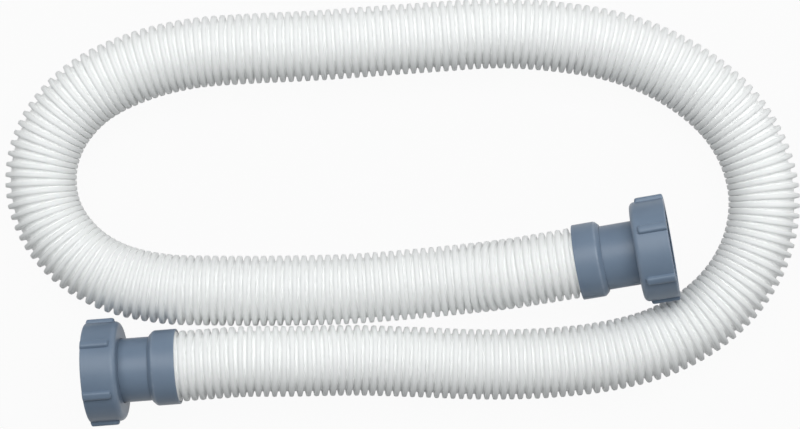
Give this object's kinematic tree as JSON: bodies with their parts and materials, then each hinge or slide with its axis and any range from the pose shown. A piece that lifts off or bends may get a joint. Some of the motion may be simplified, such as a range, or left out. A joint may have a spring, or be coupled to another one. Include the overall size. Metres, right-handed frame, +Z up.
{
  "type": "corrugated pool hose",
  "caption": "Short corrugated pool hose with a union nut at each end, lying in an open loop; it links a pump, filter or skimmer",
  "frame": {"origin": "middle of the bounding box, on the ground that the hose lies on", "axes": "+X along the long side of the loop, towards the end whose coupling is raised; +Y across the loop, away from the couplings; +Z up"},
  "size_m": [0.5303, 0.2849, 0.0812],
  "materials": {
    "hose": "satin white",
    "fitting": "satin blue-grey",
    "seal": "matt black"
  },
  "bodies": {
    "hose": {"hose": "hose", "left_tail_piece": "fitting", "left_collar": "fitting", "left_seal_ring": "seal", "right_tail_piece": "fitting", "right_collar": "fitting", "right_seal_ring": "seal"},
    "left_nut": {"left_union_nut": "fitting"},
    "right_nut": {"right_union_nut": "fitting"}
  },
  "joints": [
    {"name": "left_nut_spin", "type": "hinge", "parent": "hose", "child": "left_nut", "pos_m": [-0.16301, -0.10401, 0.0332], "axis": [-0.9971, -0.0758, 0], "continuous": true},
    {"name": "right_nut_spin", "type": "hinge", "parent": "hose", "child": "right_nut", "pos_m": [0.13101, -0.0312, 0.04088], "axis": [0.9709, 0.1709, 0.1678], "continuous": true}
  ]
}
